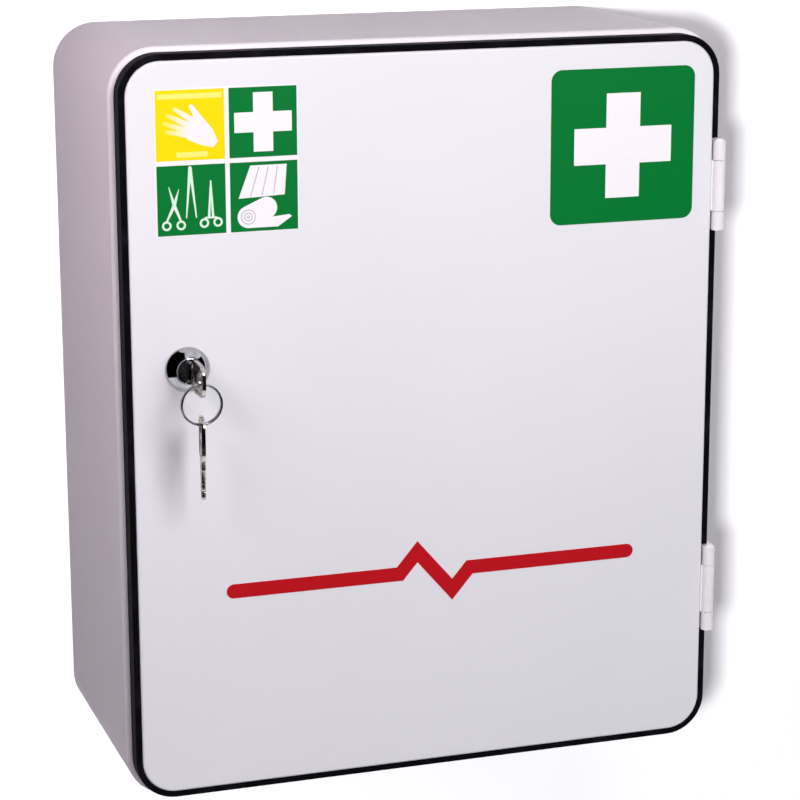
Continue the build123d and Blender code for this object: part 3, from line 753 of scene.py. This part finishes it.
def keyRing(look):
    low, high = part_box("key_ring")
    middle = (low + high) / 2
    verts, faces = [], []
    total = 4 * math.pi - 2 * look["endGap"]
    steps = 2 * look["turnSteps"]
    side = look["side"]
    for i in range(steps + 1):
        turned = look["endGap"] + total * i / steps
        angle = look["endsAt"] + turned
        cross = (turned - 2 * math.pi) / look["crossing"]        # -1 to 1 through the crossing
        blend = min(1.0, max(0.0, (cross + 1) / 2))
        shift = look["offset"] * (2 * blend * blend * (3 - 2 * blend) - 1)
        fromEnd = min(i, steps - i) / look["endSteps"]
        taper = min(1.0, look["endSize"] + (1 - look["endSize"]) * fromEnd)        # rounded ends
        for k in range(side):
            a = 2 * math.pi * k / side
            cosine, sine = math.cos(a), math.sin(a)
            radial = look["wire"][0] * taper * math.copysign(abs(cosine) ** (2 / look["square"]), cosine)
            axial = look["wire"][1] * taper * math.copysign(abs(sine) ** (2 / look["square"]), sine)
            radius = look["radius"] + radial
            offset = Vector((radius * math.cos(angle), shift + axial, radius * math.sin(angle)))
            verts.append(middle + offset * mm)
    for i in range(steps):
        for k in range(side):
            here, there = i * side, (i + 1) * side
            faces.append([here + k, here + (k + 1) % side, there + (k + 1) % side, there + k])
    faces.append(list(range(side)))
    faces.append(list(range(steps * side, (steps + 1) * side)))
    steel, node = finishes["ring_steel"], "key_ring"
    return piece("split_ring", verts, faces, steel, "key_ring", [node], look["crease"])


keyRing(splitRing)
print("ring wound")


# Stage: a pale floor and a wall, each there from one side alone

# glow is how much paler the camera and mirrors see it than the light makes it, farGlow the same far away
floorLook = {
    "drop": 0.6, "half": 4.5, "tone": colour(206, 206, 208), "glow": 0.85, "farGlow": 0.95, "nearTo": 1.1,
    "farFrom": 3.0,
}
wallLook = {
    "gap": 0.0006, "half": 4.0, "tone": colour(190, 189, 191), "glow": 0.03, "farGlow": 0.75, "nearTo": 0.3,
    "farFrom": 0.8,
}


def stagePaint(name, look):        # clear from behind and below
    material = bpy.data.materials.new(name)
    material.use_nodes = True
    graph = Graph(material.node_tree)
    graph.tree.nodes.clear()
    matt = graph.add("ShaderNodeBsdfDiffuse", None, {"Color": look["tone"]})
    place = graph.add("ShaderNodeTexCoord", out="Object")
    away = graph.add("ShaderNodeVectorMath", {"operation": "LENGTH"}, {0: place}, out="Value")
    far = away.soft(look["nearTo"], look["farFrom"])
    glow = look["glow"] + far * (look["farGlow"] - look["glow"])
    light = graph.add("ShaderNodeEmission", None, {"Strength": glow})
    paler = graph.add("ShaderNodeAddShader", None, {0: matt, 1: light})
    front = graph.add("ShaderNodeMixShader", None, {0: graph.seen(), 1: matt, 2: paler})
    behind = graph.add("ShaderNodeNewGeometry", out="Backfacing")
    clear = graph.add("ShaderNodeBsdfTransparent")
    facing = graph.add("ShaderNodeMixShader", None, {0: behind, 1: front, 2: clear})
    graph.add("ShaderNodeOutputMaterial", None, {"Surface": facing})
    return material


def sheetOf(name, corners, faces, material):
    thing = unlinked(name, corners, faces, material)
    scene.collection.objects.link(thing)
    return thing


floorZ = wrapLow.z - floorLook["drop"]
half = floorLook["half"]
corners = [(-half, -half, floorZ), (half, -half, floorZ), (half, half, floorZ), (-half, half, floorZ)]
sheetOf("floor", corners, [[0, 1, 2, 3]], stagePaint("floorPaint", floorLook))
half = wallLook["half"]
wallY = wrapHigh.y + wallLook["gap"]
wallTop = floorZ + half
corners = [(-half, wallY, floorZ), (half, wallY, floorZ), (half, wallY, wallTop), (-half, wallY, wallTop)]
wall = sheetOf("wall", corners, [[0, 1, 2, 3]], stagePaint("wallPaint", wallLook))
wall.visible_shadow = False        # so that it leaves the light on the cabinet's back
wall.visible_diffuse = False
wallOnly = bpy.data.collections.new("wallOnly")        # what the wash lamp lights
wallOnly.objects.link(wall)


# Black cards round the front and the left, seen only in what reflects

cards = {        # from the lock: degrees right of straight ahead, degrees up
    "cardFront": {"across": (-14, 84), "up": (-30, 29)},
    "cardLeft": {"across": (-125, -5), "up": (-40, 72)},
}
cardsAway, cardSteps, cardTone = 1.45, 8, colour(8, 8, 9)


def between(ends, share):
    low, high = ends
    return low + (high - low) * share


cardBlack = bpy.data.materials.new("cardBlack")
cardBlack.use_nodes = True
blackGraph = Graph(cardBlack.node_tree)
blackGraph.tree.nodes.clear()
cardMatt = blackGraph.add("ShaderNodeBsdfDiffuse", None, {"Color": cardTone})
blackGraph.add("ShaderNodeOutputMaterial", None, {"Surface": cardMatt})
for name, card in cards.items():
    corners, faces = [], []
    for i in range(cardSteps + 1):
        for j in range(cardSteps + 1):
            across = between(card["across"], i / cardSteps) * degree
            up = between(card["up"], j / cardSteps) * degree
            level = cardsAway * math.cos(up)
            offset = Vector((level * math.sin(across), -level * math.cos(across), cardsAway * math.sin(up)))
            corners.append(Vector((lockX, doorFront, lockZ)) + offset)
    for i in range(cardSteps):
        for j in range(cardSteps):
            here = i * (cardSteps + 1) + j
            faces.append([here, here + 1, here + cardSteps + 2, here + cardSteps + 1])
    thing = sheetOf(name, corners, faces, cardBlack)
    thing.visible_camera = False
    thing.visible_diffuse = False
    thing.visible_transmission = False
    thing.visible_shadow = False
print("stage set")


# Light: a soft lamp near the front, a wide one on the right, two weak ones on the left and one for the back.
# The wash lights the wall alone, and throws the cabinet's shadow to the right.

lamps = {
    "near": {"at": (0.08, -0.85, 0.45), "size": 0.3, "watts": 3.3, "tone": (1.0, 0.965, 0.985)},
    "front": {
        "at": (0.42, -1.6, 0.3), "size": 0.8, "watts": 8.2, "tone": (0.95, 0.975, 1.0), "inGloss": False,
    },
    "left": {
        "at": (-0.8, -0.9, 0.7), "size": 0.2, "watts": 1.75, "tone": (1.0, 0.86, 1.0), "inGloss": False,
    },
    "leftNear": {
        "at": (-0.42, -0.3, 0.3), "size": 0.2, "watts": 0.62, "tone": (1.0, 0.86, 0.99), "inGloss": False,
    },
    "wash": {
        "at": (-0.52, -1.35, 0.235), "size": 0.1, "watts": 40.0, "tone": (1.0, 1.0, 1.0), "wallOnly": True,
    },
    "back": {"at": (1.0, 1.15, -0.05), "size": 0.9, "watts": 20.0, "tone": (1.0, 0.99, 1.0)},
}
aimedAt = Vector((0.0, -0.1, 0.0))
surround = {"tone": (1.0, 0.975, 1.0, 1.0), "strength": 0.095, "seen": (1.0, 1.0, 1.0, 1.0)}

for name, lamp in lamps.items():
    light = bpy.data.lights.new(name, "AREA")
    light.shape = "SQUARE"
    light.size = lamp["size"]
    light.energy = lamp["watts"]
    light.color = lamp["tone"]
    holder = bpy.data.objects.new(name, light)
    holder.location = lamp["at"]
    holder.visible_glossy = lamp.get("inGloss", True)
    if lamp.get("wallOnly"):
        holder.light_linking.receiver_collection = wallOnly
    holder.rotation_euler = (aimedAt - Vector(lamp["at"])).to_track_quat("-Z", "Y").to_euler()
    scene.collection.objects.link(holder)

world = bpy.data.worlds.new("surround")
scene.world = world
world.use_nodes = True
sky = Graph(world.node_tree)
sky.tree.nodes.clear()
dim = sky.add("ShaderNodeBackground", None, {"Color": surround["tone"], "Strength": surround["strength"]})
bright = sky.add("ShaderNodeBackground", None, {"Color": surround["seen"], "Strength": 1.0})
both = sky.add("ShaderNodeMixShader", None, {0: sky.seen(), 1: dim, 2: bright})
sky.add("ShaderNodeOutputWorld", None, {"Surface": both})
print("lit")


# Camera, as the photograph was taken

view = {
    "at": (-0.3952, -1.2711, 0.3013), "yaw": -18.527, "pitch": -13.718, "roll": 0.151, "lens": 115.69,
    "sensor": 36, "clip": (0.01, 50),
}
camera = bpy.data.cameras.new("camera")
camera.lens = view["lens"]
camera.sensor_width = view["sensor"]
camera.clip_start, camera.clip_end = view["clip"]
holder = bpy.data.objects.new("camera", camera)
turn = Matrix.Rotation(view["yaw"] * degree, 4, "Z") @ Matrix.Rotation(view["pitch"] * degree, 4, "X")
turn = turn @ Matrix.Rotation(view["roll"] * degree, 4, "Y") @ Matrix.Rotation(90 * degree, 4, "X")
holder.matrix_world = Matrix.Translation(view["at"]) @ turn
scene.collection.objects.link(holder)
scene.camera = holder
scene.view_settings.view_transform = "Standard"
